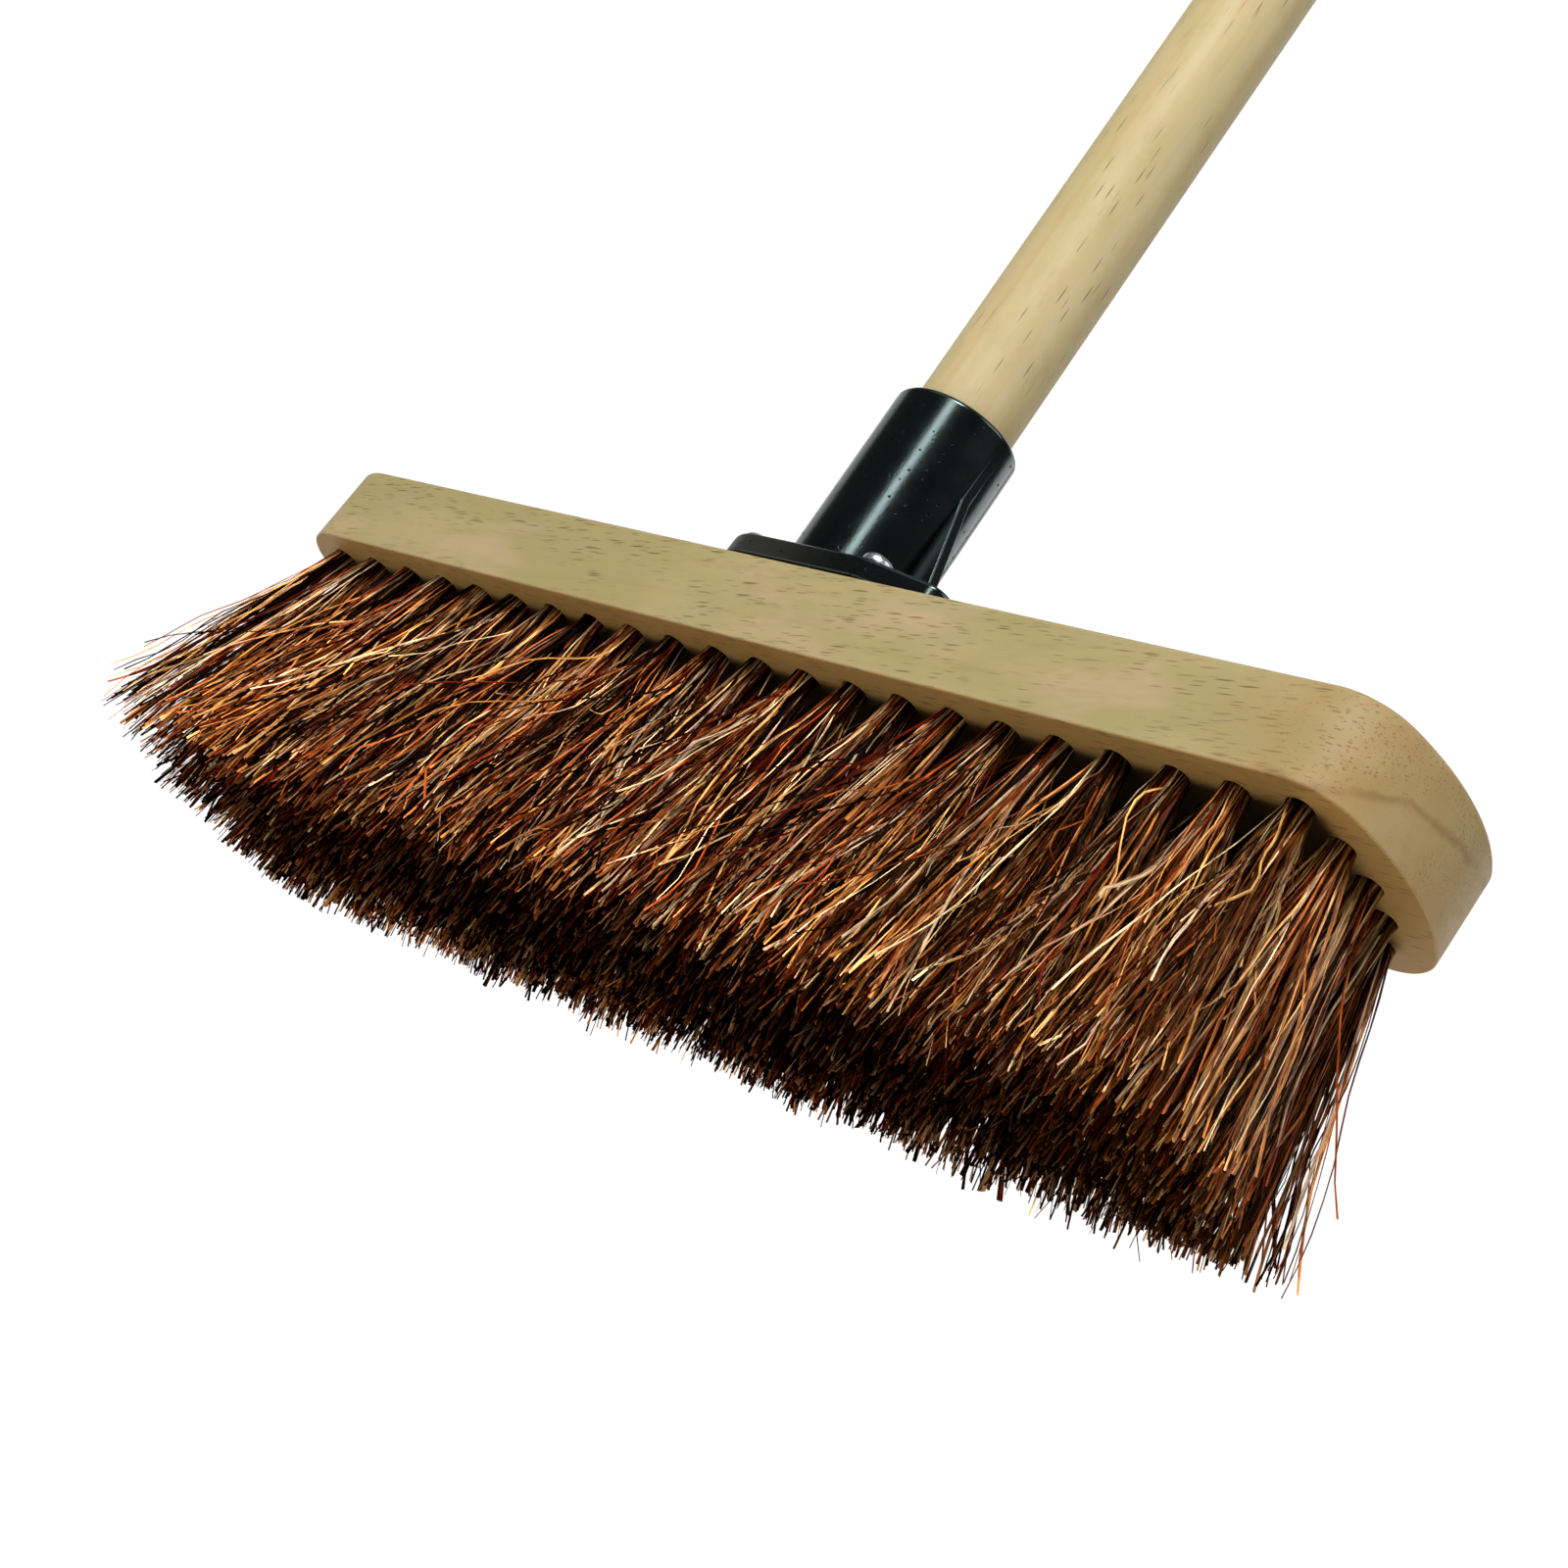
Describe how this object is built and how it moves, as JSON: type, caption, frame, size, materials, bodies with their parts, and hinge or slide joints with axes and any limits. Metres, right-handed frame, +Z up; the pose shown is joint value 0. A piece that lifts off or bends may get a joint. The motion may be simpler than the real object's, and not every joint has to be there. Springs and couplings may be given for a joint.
{
  "type": "push broom",
  "caption": "Push broom with a wooden stock of fanned stiff fibre tufts, a screwed-on moulded handle socket and a round wooden push-fit handle.",
  "frame": {"origin": "on the plane of the bristle tips, straight below the middle of the handle socket; this plane is the floor when the broom stands on its bristles", "axes": "+Z up through the stock, +X along the stock towards the longer side of the socket's flange, +Y across the stock, away from the side the handle leans to"},
  "size_m": [0.3484, 0.1177, 1.286],
  "materials": {
    "pale_wood": "sanded pale hardwood",
    "handle_wood": "sanded pale hardwood dowel",
    "black_plastic": "glossy black moulding",
    "zinc_steel": "bright zinc plate",
    "bassine_fibre": "stiff brown palm fibre"
  },
  "bodies": {
    "broom_head": {"stock": "pale_wood", "handle_socket": "black_plastic", "socket_screw_front_right": "zinc_steel", "socket_screw_back_right": "zinc_steel", "socket_screw_front_left": "zinc_steel", "socket_screw_back_left": "zinc_steel", "tuft_column_01": "bassine_fibre", "tuft_column_02": "bassine_fibre", "tuft_column_03": "bassine_fibre", "tuft_column_04": "bassine_fibre", "tuft_column_05": "bassine_fibre", "tuft_column_06": "bassine_fibre", "tuft_column_07": "bassine_fibre", "tuft_column_08": "bassine_fibre", "tuft_column_09": "bassine_fibre", "tuft_column_10": "bassine_fibre", "tuft_column_11": "bassine_fibre", "tuft_column_12": "bassine_fibre", "tuft_column_13": "bassine_fibre", "tuft_column_14": "bassine_fibre", "tuft_column_15": "bassine_fibre", "tuft_column_16": "bassine_fibre", "tuft_column_17": "bassine_fibre", "tuft_column_18": "bassine_fibre", "tuft_column_19": "bassine_fibre", "tuft_column_20": "bassine_fibre", "tuft_column_21": "bassine_fibre", "tuft_column_22": "bassine_fibre"},
    "handle": {"handle": "handle_wood"}
  },
  "joints": [
    {"name": "handle_withdrawal", "type": "slide", "parent": "broom_head", "child": "handle", "axis": [0, -0.0558, 0.9984], "range_m": [0, 0.06]}
  ]
}
